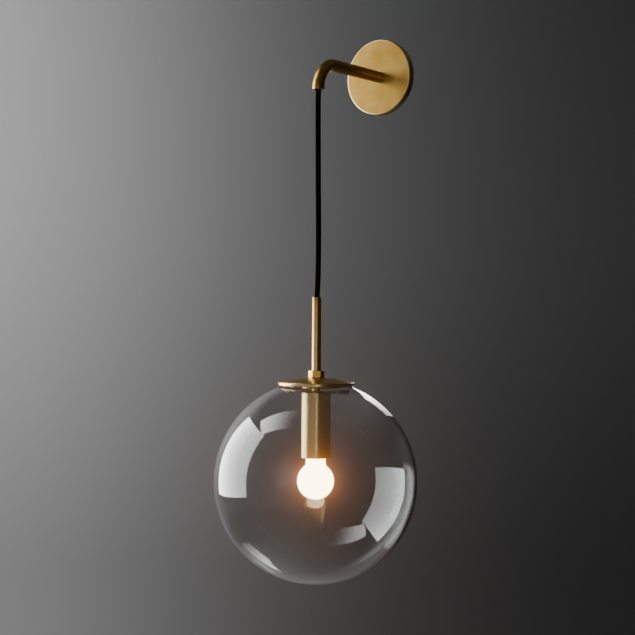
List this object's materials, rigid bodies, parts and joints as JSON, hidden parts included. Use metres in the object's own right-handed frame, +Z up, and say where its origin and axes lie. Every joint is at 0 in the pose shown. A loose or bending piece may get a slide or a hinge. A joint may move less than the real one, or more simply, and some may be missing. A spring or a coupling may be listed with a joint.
{
  "type": "globe wall sconce",
  "caption": "Wall light with a round backplate and an elbowed arm, from which a clear glass globe with its own lamp hangs on a fabric cord under a turned cap.",
  "frame": {"origin": "the middle of the wall bracket on the wall plane, on the arm's axis", "axes": "+Z up, +Y into the wall, so the sconce stands out towards -Y; +X to the right seen from the room"},
  "size_m": [0.25, 0.266, 0.6896],
  "materials": {
    "aged_brass": "satin, aged",
    "bare_brass": "turned, bright",
    "zinc_steel": "zinc plated",
    "black_nylon": "moulded, matt",
    "black_fabric": "braided sleeve",
    "core_brown": "extruded",
    "core_blue": "extruded",
    "core_green": "extruded",
    "tinned_copper": "tinned",
    "clear_glass": "blown, clear",
    "opal_glass": "opal",
    "stem_glass": "clear",
    "insulator_glass": "black",
    "filament": "phosphor coated",
    "silicone": "moulded, translucent",
    "porcelain": "glazed porcelain",
    "nickel_brass": "nickel plated"
  },
  "bodies": {
    "wall_side": {"wall_bracket": "zinc_steel", "backplate": "aged_brass", "plate_screws": "aged_brass", "arm_tube": "aged_brass", "arm_plug": "bare_brass", "arm_rod": "zinc_steel", "arm_washer": "zinc_steel", "arm_nut": "zinc_steel", "mouth_bush": "black_nylon", "mouth_bush_screw": "zinc_steel", "arm_cord": "black_fabric", "arm_cord_stop": "tinned_copper", "lead_live": "core_brown", "lead_neutral": "core_blue", "lead_earth": "core_green", "lead_ferrules": "tinned_copper", "earth_tag": "tinned_copper", "earth_screw": "bare_brass"},
    "cord_pivot": {"cord_bend": "black_fabric"},
    "cord": {"hanging_cord": "black_fabric"},
    "pendant": {"stem": "aged_brass", "stem_bush": "black_nylon", "stem_cord": "black_fabric", "stem_cord_stop": "tinned_copper", "cap_nut": "aged_brass", "glass_cap": "aged_brass", "cap_gasket": "silicone", "glass_globe": "clear_glass", "crossbar": "zinc_steel", "bar_pads": "silicone", "sleeve": "aged_brass", "sleeve_nut": "zinc_steel", "holder_yoke": "zinc_steel", "holder_screws": "zinc_steel", "holder_body": "porcelain", "holder_shell": "nickel_brass", "holder_contact": "bare_brass", "holder_terminals": "bare_brass", "terminal_screws": "zinc_steel", "holder_lead_live": "core_brown", "holder_lead_neutral": "core_blue", "holder_lead_earth": "core_green", "holder_earth_tag": "tinned_copper"},
    "lamp_feed": {"lamp_contact": "nickel_brass", "lamp_insulator": "insulator_glass"},
    "lamp": {"bulb_glass": "opal_glass", "lamp_cap": "nickel_brass", "lamp_mount": "stem_glass", "lamp_filaments": "filament"}
  },
  "joints": [
    {"name": "swing_out", "type": "hinge", "parent": "wall_side", "child": "cord_pivot", "pos_m": [0, -0.141, -0.0344], "axis": [-1, 0, 0], "range_deg": [-1.7, 30]},
    {"name": "swing_side", "type": "hinge", "parent": "cord_pivot", "child": "cord", "pos_m": [0, -0.141, -0.0344], "axis": [0, 1, 0], "range_deg": [-30, 30]},
    {"name": "globe_twist", "type": "hinge", "parent": "cord", "child": "pendant", "pos_m": [0, -0.141, -0.2895], "axis": [0, 0, 1], "range_deg": [-90, 90]},
    {"name": "lamp_feed", "type": "slide", "parent": "pendant", "child": "lamp_feed", "axis": [0, 0, -1], "range_m": [0, 0.01452]},
    {"name": "lamp_turn", "type": "hinge", "parent": "lamp_feed", "child": "lamp", "pos_m": [0, -0.141, -0.4836], "axis": [0, 0, -1], "range_deg": [0, 1440]}
  ],
  "couplings": [
    {"joint": "lamp_feed", "follows": "lamp_turn", "m_per_rad": 0.00057756}
  ]
}
